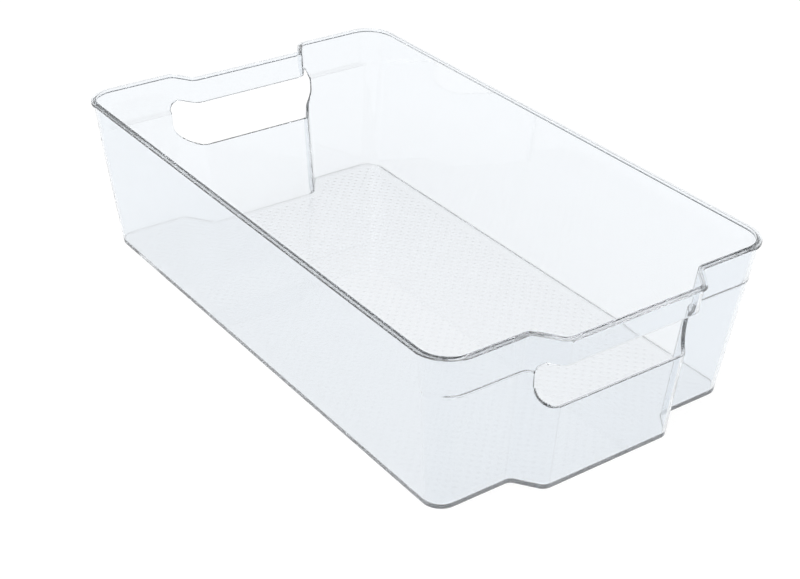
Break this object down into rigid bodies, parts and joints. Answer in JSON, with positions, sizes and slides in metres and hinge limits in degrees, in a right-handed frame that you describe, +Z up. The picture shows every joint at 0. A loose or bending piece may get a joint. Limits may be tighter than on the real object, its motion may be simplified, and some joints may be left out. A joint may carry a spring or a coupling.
{
  "type": "fridge drawer organizer",
  "caption": "Clear open-topped rectangular fridge bin with a bowed-out front handle, a bowed-in rear handle, a finger slot through each end and a textured floor.",
  "frame": {"origin": "centre of the overall box, on the underside of the floor", "axes": "+Z up, the front handle faces -Y, +X along the width, to the right as seen from the front"},
  "size_m": [0.218, 0.38, 0.096],
  "materials": {
    "clear_plastic": "gloss"
  },
  "bodies": {
    "root": {"floor_panel": "clear_plastic", "front_grip_panel": "clear_plastic", "front_handle_band": "clear_plastic", "front_left_corner": "clear_plastic", "front_left_return": "clear_plastic", "front_left_shoulder": "clear_plastic", "front_right_corner": "clear_plastic", "front_right_return": "clear_plastic", "front_right_shoulder": "clear_plastic", "front_rim": "clear_plastic", "left_rim": "clear_plastic", "left_side_wall": "clear_plastic", "rear_grip_panel": "clear_plastic", "rear_handle_band": "clear_plastic", "rear_left_corner": "clear_plastic", "rear_left_return": "clear_plastic", "rear_left_shoulder": "clear_plastic", "rear_right_corner": "clear_plastic", "rear_right_return": "clear_plastic", "rear_right_shoulder": "clear_plastic", "rear_rim": "clear_plastic", "right_rim": "clear_plastic", "right_side_wall": "clear_plastic"}
  },
  "joints": []
}
